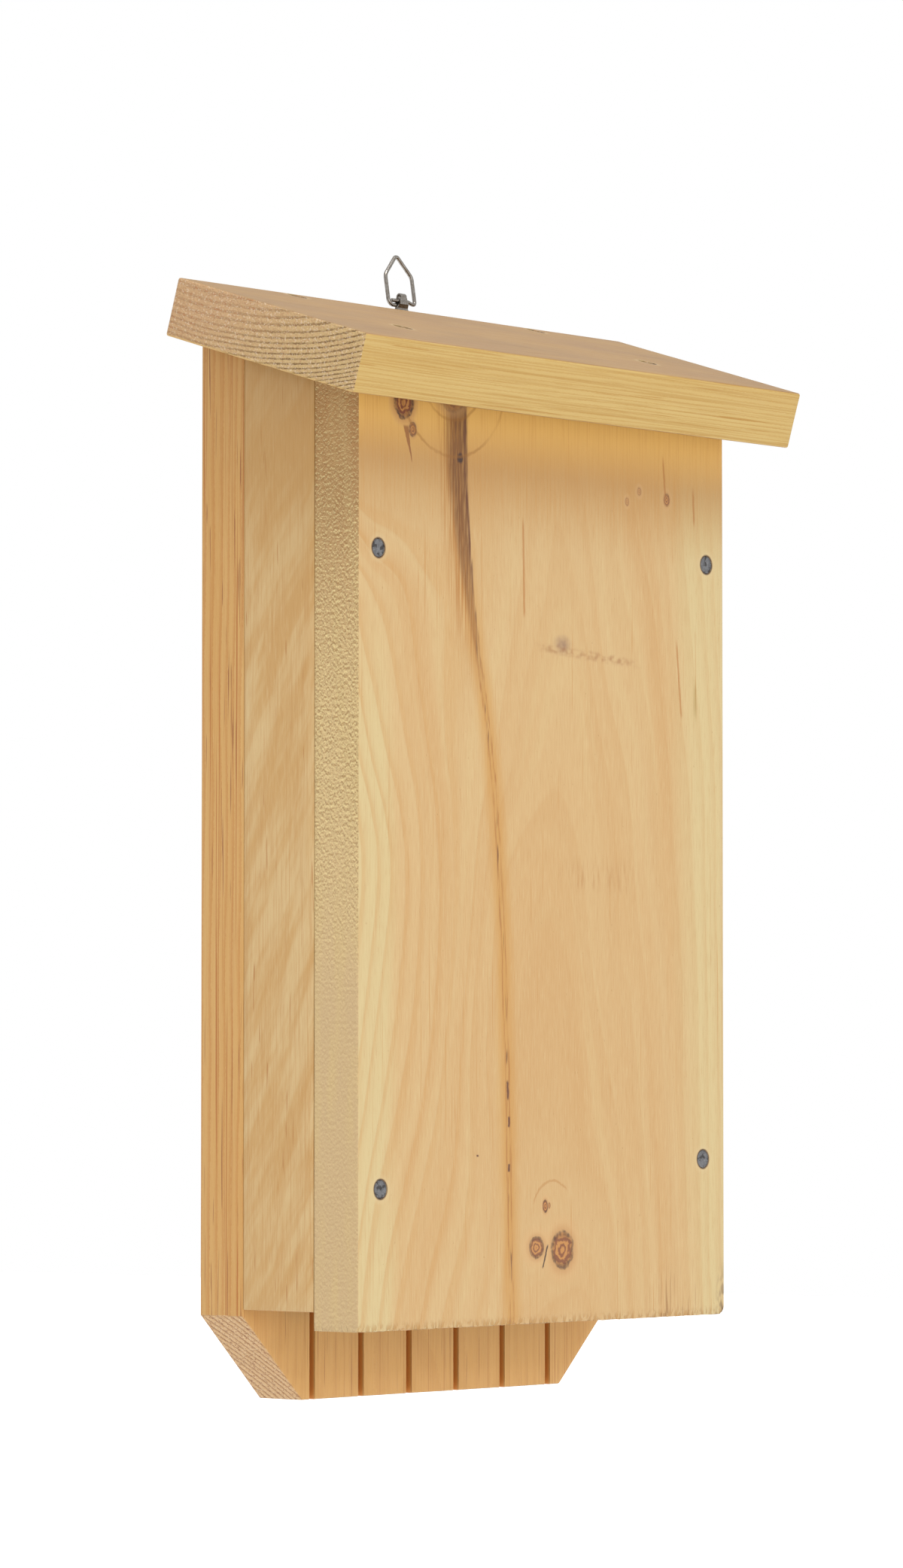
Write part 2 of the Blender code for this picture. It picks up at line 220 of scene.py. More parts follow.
def divide_along(board, axis, cell):
    """Slice the board across an axis, in two rounds of cuts, into cells of about one length."""
    length = board.dimensions[axis]
    rounds = math.ceil(math.sqrt(length / cell))
    for cuts, longer_than in ((rounds - 1, 2 * MM), (math.ceil(length / rounds / cell) - 1, 1.5 * cell)):
        if cuts > 0:
            with editing(board):
                pick("edges", lambda edge: runs_along(edge, axis, longer_than))
                bpy.ops.mesh.subdivide(number_cuts=cuts)


def refine(board, test, cuts=1):
    """Divide the faces that pass a test, for detail finer than the rest of the board's."""
    with editing(board, "FACE"):
        chosen = pick("faces", test)
        bpy.ops.mesh.subdivide(number_cuts=cuts)
    print(f"{board.name}: {chosen} faces refined")


# %% Helpers: roughen and bore
def roughen(board, depth, grain, weight=None, pattern="CLOUDS", lumps=2):
    """Sink the surface by up to a depth, in lumps of a size along each axis, where a weight says."""
    lump_frame = bpy.data.objects.new("lump_frame", None)
    lump_frame.scale = grain
    bpy.context.scene.collection.objects.link(lump_frame)
    bpy.context.view_layer.update()
    texture = bpy.data.textures.new(f"{board.name}_lumps", pattern)
    texture.noise_scale = 1.0
    if pattern == "CLOUDS":
        texture.noise_depth = lumps
    push = board.modifiers.new("roughen", "DISPLACE")
    push.texture = texture
    push.texture_coords = "OBJECT"
    push.texture_coords_object = lump_frame
    push.strength = depth
    push.mid_level = 1.0
    if weight:
        area = board.vertex_groups.new(name="rough")
        for vertex in board.data.vertices:
            share = weight(vertex.co, vertex.normal)
            if share > 0.0:
                area.add([vertex.index], min(share, 1.0), "REPLACE")
        push.vertex_group = area.name
    apply_all(board)
    board.vertex_groups.clear()
    bpy.data.objects.remove(lump_frame)


def bore(board, cutter):
    """Cut the cutter's shape out of the board, and throw the cutter away."""
    cut = board.modifiers.new("bore", "BOOLEAN")
    cut.operation = "DIFFERENCE"
    cut.solver = "EXACT"
    cut.object = cutter
    apply_all(board)
    bpy.data.objects.remove(cutter, do_unlink=True)


def fade(value, start, end):
    """0 at the start and 1 at the end, smoothly."""
    share = min(max((value - start) / (end - start), 0.0), 1.0)
    return share * share * (3 - 2 * share)


def finish_piece(piece, body, slot, *nodes):
    select_only(piece)
    bpy.ops.object.shade_smooth_by_angle(angle=math.radians(40.0))
    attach(piece, body)
    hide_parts(*nodes)
    triangles = sum(len(face.vertices) - 2 for face in piece.data.polygons)
    print(f"{piece.name}: {triangles} triangles, {[round(side * 1000, 1) for side in piece.dimensions]} mm")


# %% [markdown]
# ## Tools for finishes
# A finish is one material made of shader nodes. To keep the sums readable, a `Signal` wraps a
# node's output and adds a Math node whenever it meets +, -, * or /, and `Finish.node` makes any
# other node from its type, its settings and what goes into its sockets.


# %% Helper: numbers that vary over a surface
def sum_node(operation, swapped=False):
    """A method that adds one Math node, with the signal as its first value, or its last."""
    def method(signal, *others):
        return signal.math(operation, *((*others, signal) if swapped else (signal, *others)))
    return method


class Signal:
    """A node's output. Sums on it add Math nodes."""

    def __init__(self, finish, socket):
        self.finish = finish
        self.socket = socket

    def math(self, operation, *values):
        return self.finish.node("ShaderNodeMath", {"operation": operation}, dict(enumerate(values)))

    __add__ = sum_node("ADD")
    __radd__ = sum_node("ADD", swapped=True)
    __sub__ = sum_node("SUBTRACT")
    __rsub__ = sum_node("SUBTRACT", swapped=True)
    __mul__ = sum_node("MULTIPLY")
    __rmul__ = sum_node("MULTIPLY", swapped=True)
    __truediv__ = sum_node("DIVIDE")
    __pow__ = sum_node("POWER")
    __abs__ = sum_node("ABSOLUTE")
    fract = sum_node("FRACT")
    wave = sum_node("SINE")
    at_most = sum_node("MINIMUM")
    at_least = sum_node("MAXIMUM")

    def step(self, low, high):
        """0 at low and 1 at high, smoothly; low may be the larger of the two."""
        settings = {"interpolation_type": "SMOOTHSTEP"}
        if low < high:
            return self.finish.node("ShaderNodeMapRange", settings, {0: self, 1: low, 2: high})
        return 1.0 - self.finish.node("ShaderNodeMapRange", settings, {0: self, 1: high, 2: low})

    def between(self, start, full, fading, gone):
        """It rises from 0 at the start to 1 at full, and falls from there while fading until gone."""
        return self.step(start, full) * self.step(gone, fading)


# %% Helper: a material and its nodes
class Finish:
    def __init__(self, name, roughness=0.5, metallic=0.0):
        self.material = bpy.data.materials.new(name)
        self.material.use_nodes = True
        self.tree = self.material.node_tree
        self.shader = self.tree.nodes["Principled BSDF"]
        self.shader.inputs["Roughness"].default_value = roughness
        self.shader.inputs["Metallic"].default_value = metallic

    def node(self, kind, settings=None, inputs=None, output=0):
        node = self.tree.nodes.new(kind)
        for key, value in (settings or {}).items():
            if key == "bends":
                set_bends(node.mapping, value)
            else:
                setattr(node, key, value)
        for key, value in (inputs or {}).items():
            if isinstance(value, Signal):
                self.tree.links.new(value.socket, node.inputs[key])
            else:
                node.inputs[key].default_value = value
        return Signal(self, node.outputs[output])

    def coordinates(self, output="Object"):
        return self.node("ShaderNodeTexCoord", output=output)

    def vector_math(self, operation, *values, output=0):
        return self.node("ShaderNodeVectorMath", {"operation": operation}, dict(enumerate(values)), output)

    def dot(self, vector, direction):
        return self.vector_math("DOT_PRODUCT", vector, direction, output="Value")

    def in_mm(self):
        return self.vector_math("MULTIPLY", self.coordinates(), (1 / MM,) * 3)

    def vector(self, x, y, z):
        return self.node("ShaderNodeCombineXYZ", None, {0: x, 1: y, 2: z})

    def noise(self, vector, detail=2.0, roughness=0.5):
        inputs = {"Vector": vector, "Scale": 1.0, "Detail": detail, "Roughness": roughness}
        return self.node("ShaderNodeTexNoise", None, inputs)

    def mix(self, share, base, other):
        return self.node("ShaderNodeMix", {"data_type": "RGBA"}, {0: share, 6: base, 7: other}, 2)

    def feed(self, **inputs):
        """Link signals to the shader's own sockets, such as Base_Color."""
        for key, signal in inputs.items():
            self.tree.links.new(signal.socket, self.shader.inputs[key.replace("_", " ")])

    def bump(self, height_mm):
        inputs = {"Strength": 1.0, "Distance": MM, "Height": height_mm}
        self.feed(Normal=self.node("ShaderNodeBump", None, inputs))

    def coat(self, *pieces):
        for piece in pieces:
            piece.data.materials.clear()
            piece.data.materials.append(self.material)


def set_bends(mapping, points):
    curve = mapping.curves[0]
    curve.points[0].location = points[0]
    curve.points[-1].location = points[-1]
    for point in points[1:-1]:
        curve.points.new(*point)
    mapping.update()


# %% [markdown]
# ## The boards
# All five boards come from planed pine a little over 18 mm thick. A board straight from a
# primitive looks like plastic, because its faces are perfect. So each one is sawn to shape, gets
# its arrises eased, is divided into a fine grid, and then has its surface sunk here and there:
# broad waves from the planer, pebbles where a blunt saw tore the edge, and ragged fibres along
# an end. Sinking never raises a surface, so every board stays inside its measured size.

# %% Sizes from the frame
ROOF_SLOPE = math.radians(16.87)
ROOF_LENGTH = 0.0816
ROOF_THICKNESS = 0.0188
ARRIS = 0.0005  # radius of an eased edge
TOOL_REACH = 0.004  # how far a cutter runs past the surface that it opens

front_low, front_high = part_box("front_board")
back_low, back_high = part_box("back_board")
roof_low, roof_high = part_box("roof")
box_foot = back_low.z
print("chamber depth:", round((back_low.y - front_high.y) * 1000, 1), "mm")


def height(place):
    """Millimetres above the lower end of the back board."""
    return (place.z - box_foot) / MM


def board_under_roof(name, low, high):
    """A board whose top is cut to the roof's slope, through the highest line of its CAD box."""
    board = saw_block(name, low, (high.x, high.y, high.z + TOOL_REACH))
    saw_off(board, (0.0, high.y, high.z), (0.0, -math.sin(ROOF_SLOPE), math.cos(ROOF_SLOPE)))
    return board


def ease_arrises(board, width=ARRIS, segments=3):
    with editing(board):
        pick("edges", lambda edge: edge.calc_face_angle(0.0) > math.radians(30.0))
        bevel(width, segments)


# %% [markdown]
# ### The front board
# Its left edge was sawn across torn grain and looks like orange peel, coarser towards the top.
# Its lower end was cross-cut, so loose fibres hang along it, and its lower right corner is worn
# round. The nail heads were driven flush, and the wood round them is pressed in a little.

# %% Saw the front board
WORN_CORNER = 0.0030
PEEL_TURNS_FINE = 146  # height in mm below which the orange peel is finer

front = board_under_roof("front_board_planed", front_low, front_high)
with editing(front):
    pick("edges", lambda edge: all(
        abs(v.co.x - front_high.x) < ARRIS and abs(v.co.z - front_low.z) < ARRIS for v in edge.verts))
    bevel(WORN_CORNER, 8)
ease_arrises(front)
for axis, cell in ((2, 1.5 * MM), (0, 3.0 * MM), (1, 1.5 * MM)):
    divide_along(front, axis, cell)
refine(front, lambda face: face.normal.x < -0.9)
refine(front, lambda face: face.calc_center_median().z < front_low.z + 2.5 * MM and face.normal.y < -0.5)
print("front board:", len(front.data.polygons), "faces")

# %% Nail places, from the frame
def nail_head(node, axis, side):
    """The middle of a nail's head, on the side of its box that shows."""
    low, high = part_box(node)
    middle = (low + high) / 2
    middle[axis] = (low, high)[side][axis]
    return middle


def nail_heads(board, rows, axis, side):
    names = [f"{board}_nail_{row}_{hand}" for row in rows for hand in ("left", "right")]
    return {name: nail_head(name, axis, side) for name in names}


LEVELS = ("upper", "lower")
front_heads = nail_heads("front", LEVELS, 1, 0)
back_heads = nail_heads("back", LEVELS, 1, 1)
roof_heads = nail_heads("roof", ("back", "front"), 2, 1)
for name, place in front_heads.items():
    print(name, [round(value, 4) for value in place])


# %% Roughen the front board
def on_left_edge(place, normal):
    return fade(-normal.x, 0.5, 0.9)


def coarse_peel(place, normal):
    return on_left_edge(place, normal) * fade(height(place), PEEL_TURNS_FINE - 25, PEEL_TURNS_FINE + 25)


def fine_peel(place, normal):
    return on_left_edge(place, normal) * (1.0 - 0.5 * fade(height(place), 60, 200))


def lower_end(place, normal):
    return fade(front_low.z + 2.2 * MM - place.z, 0.0, 2.0 * MM) * fade(abs(normal.x), 0.9, 0.5)


def near_heads(heads, reach):
    def weight(place, normal):
        return max(1.0 - fade((place - head).length, reach * 0.6, reach) for head in heads.values())
    return weight


roughen(front, 0.10 * MM, (0.030, 0.030, 0.090))
roughen(front, 0.34 * MM, (0.0014, 0.0014, 0.0019), coarse_peel, lumps=1)
roughen(front, 0.12 * MM, (0.0008, 0.0008, 0.0012), fine_peel, lumps=1)
roughen(front, 0.55 * MM, (0.0007, 0.0007, 0.0045), lower_end, lumps=1)
roughen(front, 0.10 * MM, (0.5, 0.5, 0.5), near_heads(front_heads, 0.0055))


# %% Bore the front board for its nails
HEAD_RADIUS = 0.0029
HEAD_THICKNESS = 0.0010
SHANK_RADIUS = 0.00125
NAIL_LENGTH = 0.0380
HOLE_SLACK = 0.00010


def nail_bore(head, into):
    """A stepped cutter: the head's recess and the shank's bore, along a direction into the wood."""
    middle = (0.0, 0.0, TOOL_REACH / 2 - 1.1 * HEAD_THICKNESS)
    bpy.ops.mesh.primitive_cylinder_add(
        vertices=40, radius=HEAD_RADIUS + HOLE_SLACK, depth=TOOL_REACH, location=middle)
    recess = bpy.context.active_object
    with editing(recess, "FACE"):
        pick("faces", lambda face: face.normal.z < -0.9)
        bpy.ops.mesh.inset(thickness=HEAD_RADIUS - SHANK_RADIUS)
        extrude((0.0, 0.0, -NAIL_LENGTH))
    recess.rotation_mode = "QUATERNION"
    recess.rotation_quaternion = Vector(into).to_track_quat("-Z", "Y")
    recess.location = head
    settle(recess)
    return recess


DOWN = (0.0, 0.0, -1.0)
INWARDS = (0.0, 1.0, 0.0)
FORWARDS = (0.0, -1.0, 0.0)

for head in front_heads.values():
    bore(front, nail_bore(head, INWARDS))
for side in ("left", "right"):
    bore(front, nail_bore(roof_heads[f"roof_nail_front_{side}"], DOWN))
finish_piece(front, "box", "pine_front", "front_board")

# %% [markdown]
# ### The side panels
# Narrow strips of smooth, planed pine. They stop a little above the front board's lower end.

# %% Saw the side panels
CLOSE_FIT = 0.05 * MM  # boards that are nailed tight still show a hair line

panels = {}
for side in ("left", "right"):
    panel_low, panel_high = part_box(f"{side}_side_panel")
    panel_low.y = front_high.y + CLOSE_FIT
    panel_high.y = back_low.y - CLOSE_FIT
    panel = board_under_roof(f"{side}_side_panel_planed", panel_low, panel_high)
    ease_arrises(panel, 0.0003, 2)
    for axis, cell in ((2, 6 * MM), (0, 4 * MM), (1, 4 * MM)):
        divide_along(panel, axis, cell)
    roughen(panel, 0.12 * MM, (0.020, 0.020, 0.060))
    panels[side] = panel

# %% [markdown]
# ### The back board
# The longest board. Its lower corners are cut off, which bares the end grain, and six saw kerfs
# run up its front face for bats' claws. A kerf's walls are a little rough, so the cutter is
# roughened before it cuts.

# %% Saw the back board
CHAMFER_ACROSS = 0.0278
CHAMFER_UP = 0.0271
KERFS = 6
KERF_PITCH = 0.02345
KERF_FIRST = -0.0593
KERF_WIDTH = 0.0028
KERF_DEPTH = 0.0030

back = board_under_roof("back_board_planed", back_low, back_high)
for side in (-1, 1):
    corner = (side * back_high.x, 0.0, back_low.z + CHAMFER_UP)
    saw_off(back, corner, (side * CHAMFER_UP, 0.0, -CHAMFER_ACROSS))
ease_arrises(back)


def slice_along(board, axis, cell):
    """Slice a board of any outline across an axis, leaving all of it in place."""
    low = min(vertex.co[axis] for vertex in board.data.vertices)
    count = round(board.dimensions[axis] / cell)
    normal = [0.0, 0.0, 0.0]
    normal[axis] = 1.0
    with editing(board):
        for index in range(1, count):
            point = [0.0, 0.0, 0.0]
            point[axis] = low + board.dimensions[axis] * index / count
            bpy.ops.mesh.select_all(action="SELECT")
            bpy.ops.mesh.bisect(plane_co=point, plane_no=normal)


def is_chamfer(face):
    return face.normal.z < -0.5 and abs(face.normal.x) > 0.5


def on_chamfer(place, normal):
    return fade(-normal.z * abs(normal.x), 0.3, 0.45)


for axis, cell in ((2, 8 * MM), (0, 8 * MM), (1, 4 * MM)):
    slice_along(back, axis, cell)
with editing(back, "FACE"):
    pick("faces", is_chamfer)
    bpy.ops.mesh.quads_convert_to_tris()
refine(back, is_chamfer, 5)
roughen(back, 0.12 * MM, (0.020, 0.020, 0.080))
roughen(back, 0.22 * MM, (0.0011, 0.0006, 0.0011), on_chamfer)

# %% Saw the kerfs and bore the back board
for index in range(KERFS):
    middle = KERF_FIRST + index * KERF_PITCH
    low = (middle - KERF_WIDTH / 2, back_low.y - TOOL_REACH, back_low.z - TOOL_REACH)
    high = (middle + KERF_WIDTH / 2, back_low.y + KERF_DEPTH, back_high.z + TOOL_REACH)
    saw = saw_block("saw", low, high)
    divide_along(saw, 2, 2.5 * MM)
    roughen(saw, 0.16 * MM, (0.0009, 0.0009, 0.0030))
    bore(back, saw)
for head in back_heads.values():
    bore(back, nail_bore(head, FORWARDS))
for side in ("left", "right"):
    bore(back, nail_bore(roof_heads[f"roof_nail_back_{side}"], DOWN))

STRAP_BED = 0.0006
strap_low, strap_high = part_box("hanger_strap")
bed = saw_block("bed", (strap_low.x - 0.3 * MM, back_high.y - STRAP_BED, strap_low.z - 0.3 * MM),
                (strap_high.x + 0.3 * MM, back_high.y + TOOL_REACH, back_high.z + TOOL_REACH))
bore(back, bed)
finish_piece(back, "box", "pine_back", "back_board")

for side, panel in panels.items():
    for level in LEVELS:
        bore(panel, nail_bore(front_heads[f"front_nail_{level}_{side}"], INWARDS))
        bore(panel, nail_bore(back_heads[f"back_nail_{level}_{side}"], FORWARDS))
    finish_piece(panel, "box", "pine_side", f"{side}_side_panel")

# %% [markdown]
# ### The roof
# One board laid on the slope. Its two ends were cross-cut and left rough, so their fibres stand
# in rows along the growth rings. It is modelled flat, with its upper rear edge on the X axis,
# then tipped and set where the frame has it.

# %% Saw the roof
ROOF_ARRIS = 0.0009


def on_roof_end(place, normal):
    return fade(abs(normal.x), 0.4, 0.9)


roof = saw_block("roof_board_planed", (roof_low.x, -ROOF_LENGTH, -ROOF_THICKNESS), (roof_high.x, 0.0, 0.0))
ease_arrises(roof, ROOF_ARRIS, 4)
for axis, cell in ((0, 4 * MM), (1, 2 * MM), (2, 2 * MM)):
    divide_along(roof, axis, cell)
refine(roof, lambda face: abs(face.normal.x) > 0.9, 2)
roughen(roof, 0.14 * MM, (0.080, 0.020, 0.020))
roughen(roof, 0.42 * MM, (0.0008, 0.0016, 0.0007), on_roof_end, lumps=1)
roof.rotation_euler = Euler((ROOF_SLOPE, 0.0, 0.0))
settle(roof)
roof_middle = (roof_low + roof_high) / 2
reach = [[f(v.co[axis] for v in roof.data.vertices) for f in (min, max)] for axis in range(3)]
roof_top_edge = Vector([roof_middle[axis] - sum(reach[axis]) / 2 for axis in range(3)])
roof.location = roof_top_edge
settle(roof)
for head in roof_heads.values():
    bore(roof, nail_bore(head, DOWN))
finish_piece(roof, "box", "pine_roof", "roof")

# %% [markdown]
# ## Pine
# Every board is cut from a log, so every board gets the same recipe in its own coordinates:
# across the board, through its thickness and along its grain, in millimetres. The distance from
# the log's heart gives growth rings. Seen from the side a ring is a long soft line, and on a cut
# end the same ring is an arc, so the faces agree where they meet. Fibres are noise drawn out
# along the grain, and resin canals are its rare peaks. Where the surface faces along the grain
# it is end grain: darker, dotted and rough.

# %% Helper: one board's pine
UP, RIGHT, BACKWARDS = (0.0, 0.0, 1.0), (1.0, 0.0, 0.0), (0.0, 1.0, 0.0)
LIGHT_LEVEL = 1.56  # how bright a pure white card on the front of the box would show
GLOSS_HAZE = 0.035  # white light that the surface adds by reflecting the tent


def lit(red, green, blue):
    """The wood colour that shows as these screen values, 0 to 255, in this light."""
    linear = [((value / 255 + 0.055) / 1.055) ** 2.4 for value in (red, green, blue)]
    return (*(max(value - GLOSS_HAZE, 0.004) / LIGHT_LEVEL for value in linear), 1.0)


class Pine(Finish):
    """The coordinates and the signals that a board's pine is mixed from."""

    def __init__(self, name, start, axes, heart, wander=12.0, lean=0.0):
        super().__init__(name, roughness=0.6)
        across, through, along = axes
        self.start = Vector(start)
        self.place = self.vector_math("SUBTRACT", self.in_mm(), tuple(self.start / MM))
        self.across = self.dot(self.place, across)
        self.through = self.dot(self.place, through)
        self.along = self.dot(self.place, along)
        facing = self.coordinates("Normal")
        self.facing_across = self.dot(facing, across)
        self.end = abs(self.dot(facing, along)).step(0.45, 0.75)

        sway = self.lumps(60, 190, 1.0)
        swell = self.lumps(45, 120, 1.0, shift=7)
        self.ring_across = self.across - heart[0] + (sway - 0.5) * wander
        self.ring_through = self.through - heart[1] + (swell - 0.5) * wander + self.along * lean

        self.fibre = self.streaks(1.5, 0.030, detail=3.0)
        self.hair = self.streaks(3.2, 0.16)
        self.tone = self.lumps(26, 80)
        self.pebbles = self.lumps(0.8, 1.2, 1.0)

    def lumps(self, wide, tall, detail=2.0, shift=0.0):
        """Noise with lumps of a size in millimetres across the grain and along it."""
        place = self.vector(self.across / wide + shift, self.through / wide, self.along / tall)
        return self.noise(place, detail)

    def streaks(self, fineness, length, shift=0.0, detail=2.0):
        """Noise drawn out along the grain, as fineness and length in lumps per millimetre."""
        place = self.vector(self.across * fineness + shift, self.through * fineness, self.along * length)
        return self.noise(place, detail, 0.6)

    def cut_rings(self, width, first=0.0, crowding=0.0, late=(0.25, 0.86), torn=0.0):
        """Lay the growth rings: their late wood as a mask, and a tone that changes with the years."""
        radius = (self.ring_across * self.ring_across + self.ring_through * self.ring_through) ** 0.5
        years = radius - first
        uneven = self.noise(self.vector(radius / 11, self.along / 700, 3.0), 1.0) * 1.6
        count = years / width + years * years * crowding + uneven + (self.fibre - 0.5) * 0.10
        share = (count + (self.pebbles - 0.5) * torn).fract()
        self.rings = share.step(*late) * share.step(1.0, 0.92)
        self.years = self.noise(self.vector(radius / 8, self.along / 240, 9.0))
        self.strips = self.noise(self.vector(radius / 1.7, self.along / 150, 5.0))

    def canals(self, rarity=0.70, shift=30.0, length=0.014):
        """Long thin resin canals."""
        return self.streaks(1.3, length, shift, 1.0).step(rarity, rarity + 0.05)

    def spots(self, size, low, high, shift=0.0, stretch=1.0):
        """Scattered spots of about a size in millimetres, drawn out along the grain."""
        return self.lumps(size, size * stretch, 1.0, shift).step(low, high)

    def paint(self, colour, layers):
        """Mix layers over a colour in turn. Each is a share and the screen values that it shows as."""
        for share, tone in layers:
            colour = self.mix(share, colour, lit(*tone))
        return colour

    def distance_from(self, across, along, wide=1.0, tall=1.0):
        """How far it is to a spot on the board's face, as shares of the spot's half width and height."""
        aside = (self.across - across) / wide
        above = (self.along - along) / tall
        return (aside * aside + above * above) ** 0.5

    def mark_nails(self, colour, heads):
        """A dark line round each head, where the wood is crushed, and a pale ring outside it."""
        nearest = 1000.0
        for head in heads.values():
            spot = tuple((head - self.start) / MM)
            nearest = self.vector_math("DISTANCE", self.place, spot, output="Value").at_most(nearest)
        colour = self.mix(nearest.step(5.4, 3.6) * 0.30, colour, lit(230, 206, 158))
        return self.mix(nearest.step(3.6, 3.1) * 0.85, colour, lit(92, 66, 44))


# %% [markdown]
# ### The front board's pine
# The widest board shows the most: heartwood of a peachy tan between paler, yellower sapwood at
# both edges, faint arching rings, a dark mineral streak that wanders down from a branch, dark
# and live knots, stains from the mill, and brown ends of torn fibres along the bottom. Its grain
# also leans outwards near the upper left, where it ran round a branch; a curve bends it there.

# %% The front board's rings bend round its knots
KNOTS = [
    # across, height, half width, half height in mm, how dark, and how far its halo reaches
    (-70.5, 311.8, 4.4, 4.8, 1.0, 1.5),
    (-66.2, 303.6, 1.7, 2.2, 0.70, 1.3),
    (-47.0, 317.0, 7.0, 6.0, 0.22, 1.3),
    (7.4, 46.6, 5.2, 5.6, 0.80, 1.8),
    (-5.6, 47.6, 3.5, 3.2, 0.72, 2.0),
    (-1.2, 60.6, 1.2, 1.9, 0.85, 2.0),
    (0.8, 60.8, 0.6, 0.9, 0.5, 1.6),
    (41.1, 288.6, 1.0, 1.4, 0.12, 1.8),
    (47.4, 292.3, 1.1, 1.4, 0.12, 1.8),
    (61.9, 290.6, 1.5, 2.0, 0.60, 1.8),
]
GRAIN_LEANS = [
    # height in mm and how far the grain at the left edge is carried outwards there
    (0, 20), (60, 14), (104, 5), (137, 2), (168, 0), (182, 3), (202, 11), (229, 20), (250, 29),
    (262, 40), (275, 55), (290, 78), (310, 100), (340, 120),
]
WALL_AXES = (RIGHT, BACKWARDS, UP)
BOARD_TALL = 340.0
BOARD_WIDE = 184.0
MOST_LEAN = 120.0

face = Pine("front_pine", (0.0, front_low.y, box_foot), WALL_AXES, (4.0, 45.0), wander=14.0, lean=-0.09)
across, along = face.across, face.along
lean_bends = [(tall / BOARD_TALL, out / MOST_LEAN) for tall, out in GRAIN_LEANS]
leaning = face.node("ShaderNodeFloatCurve", {"bends": lean_bends}, {"Value": along / BOARD_TALL})
face.ring_across = face.ring_across + leaning * across.step(-24, -88) * MOST_LEAN
wobble = face.noise(face.vector(across / 2.6, along / 3.2, 5.0), 3.0, 0.6) - 0.5
knot_shapes = []
for middle, knot_height, wide, tall, dark, halo in KNOTS:
    distance = face.distance_from(middle, knot_height, wide, tall)
    knot_shapes.append((distance, distance + wobble * 0.42, dark, halo))
    face.ring_through = face.ring_through - distance.step(4.5, 0.5) * (0.10 * wide + 0.4)
face.cut_rings(5.6)
print("knots:", len(knot_shapes))

# %% The front board's plain wood
sap_noise = (face.years - 0.5) * 16 + (face.strips - 0.5) * 7
sap_left = (across + BOARD_WIDE / 2 + sap_noise).step(21, 10) * along.step(262, 200)
sap_right = (BOARD_WIDE / 2 - across + sap_noise + along * -0.035).step(22, 6)
sapwood = sap_left.at_least(sap_right)

ring_lines = face.rings.step(0.70, 1.0) * across.step(-14, -56)
colour = face.mix(face.years.step(0.32, 0.62), lit(217, 177, 123), lit(221, 187, 135))
colour = face.paint(colour, (
    (face.strips.step(0.50, 0.72) * 0.40, (223, 193, 140)),
    (sapwood * 0.85, (223, 202, 150)),
    (face.rings * (0.06 + face.tone * 0.26), (206, 156, 98)),
    (ring_lines * 0.22, (212, 160, 94)),
    (face.fibre.step(0.48, 0.80) * 0.30, (204, 158, 102)),
    (face.hair.step(0.50, 0.76) * 0.38, (232, 205, 155)),
    (face.hair.step(0.48, 0.24) * 0.34, (198, 150, 94)),
    (face.canals(0.69) * 0.50, (196, 134, 62)),
    (face.spots(0.55, 0.75, 0.80, 9.0, 3.0) * 0.50, (160, 118, 66)),
    # Painted shade: a darker, more orange band below the roof's overhang, standing in for its shadow.
    (along.step(266, 304) * 0.78, (208, 154, 86)),
    # Painted bounce light: just under the roof the wood is painted bright orange, as if lit by the roof's
    # underside.
    (along.step(292, 313) * 0.92, (255, 202, 112)),
    # Fibres painted darker inside the same painted shade band.
    (along.step(262, 300) * face.fibre.step(0.46, 0.70) * 0.30, (212, 150, 74)),
))
print("front board, plain wood:", len(face.tree.nodes), "nodes")

# %% The mineral streak
STREAK = [
    # height and where the streak's middle is across, in mm
    (50, -18.6), (70, -19.2), (95, -19.9), (125, -21.1), (157, -23.0), (207, -28.7), (253, -38.3),
    (280, -42.6), (300, -44.2), (335, -43.8),
]
DASHES = [
    # across, height and half the length of each dark dash in the streak's lower part, in mm
    (-19.9, 97.5, 3.6), (-19.3, 87.5, 2.0), (-19.2, 73.0, 1.5), (-34.6, 77.0, 0.4),
]
bends = [(tall / BOARD_TALL, 0.5 + middle / BOARD_WIDE) for tall, middle in STREAK]
streak_curve = face.node("ShaderNodeFloatCurve", {"bends": bends}, {"Value": along / BOARD_TALL})
ragged = (face.streaks(1.1, 0.06, 50.0, 3.0) - 0.5) * 2.2
beside = across - (streak_curve - 0.5) * BOARD_WIDE + ragged
beside_share = beside / (0.9 + along.step(215, 312) * 3.4)
high_part = along.step(212, 280)
streak_body = face.streaks(1.6, 0.09, 17.0, 3.0).step(0.34, 0.60)
streak_core = beside_share.between(-1.9, -0.5, 0.90, 1.12)
streak_rim = beside_share.between(0.50, 0.88, 0.98, 1.25)
side_streaks = face.streaks(1.5, 0.030, 93.0, 3.0).step(0.40, 0.58)
low_glow = abs(beside).step(7.0, 0.2) * (1.0 - high_part * 0.6)
side_glow = beside.between(-13, -2, 0, 2) * along.step(215, 260) * side_streaks
pair = abs(abs(beside) - 0.9).step(0.55, 0.1) * streak_body
dashes = face.streaks(0.7, 0.05, 81.0, 2.0).step(0.56, 0.66) * abs(beside).step(0.9, 0.2)
colour = face.paint(colour, (
    (low_glow * (0.36 + face.strips * 0.5), (209, 151, 72)),
    (side_glow * 0.90, (184, 122, 42)),
    (streak_core * high_part * (0.55 + streak_body * 0.40), (134, 90, 42)),
    (pair * (1.0 - high_part) * 0.55, (166, 104, 34)),
    (streak_rim * high_part * (0.1 + streak_body * 0.6), (108, 68, 30)),
    (dashes * (1.0 - high_part) * 0.85, (104, 66, 26)),
))
for middle, dash_height, half in DASHES:
    off_dash = abs(across - middle + wobble * 1.2).step(0.75, 0.225)
    dash_share = off_dash * abs(along - dash_height).step(half, half * 0.6)
    colour = face.mix(dash_share * 0.85, colour, lit(96, 58, 24))
print("streak points:", len(STREAK))

